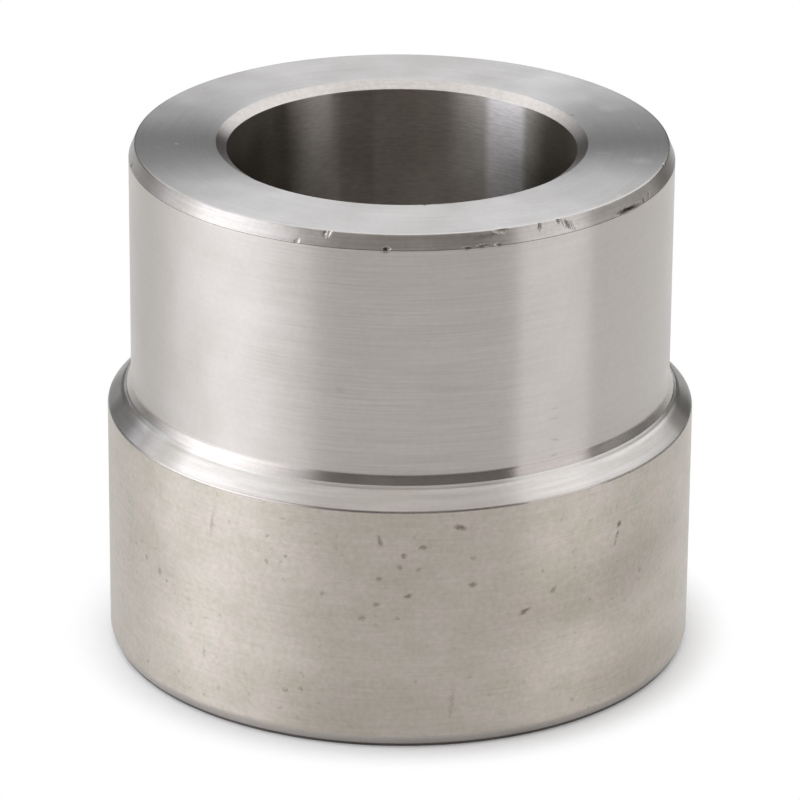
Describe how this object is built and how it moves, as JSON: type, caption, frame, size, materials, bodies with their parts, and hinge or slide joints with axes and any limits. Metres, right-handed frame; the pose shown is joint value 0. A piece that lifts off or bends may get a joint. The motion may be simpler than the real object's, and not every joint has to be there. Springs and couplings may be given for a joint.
{
  "type": "socket weld reducer",
  "caption": "Turned steel pipe reducer with a stepped and bevelled shoulder, a plain plug end, a through bore and a weld socket in its underside.",
  "frame": {"origin": "centre of the socket end face, on the pipe axis, which is the face that it stands on", "axes": "+Z along the pipe axis, from the socket end to the plug end"},
  "size_m": [0.0458, 0.0458, 0.0409],
  "materials": {
    "turned_steel": "bare turned steel, fine lathe marks, slightly stained body"
  },
  "bodies": {
    "root": {"reducer_body": "turned_steel"}
  },
  "joints": []
}
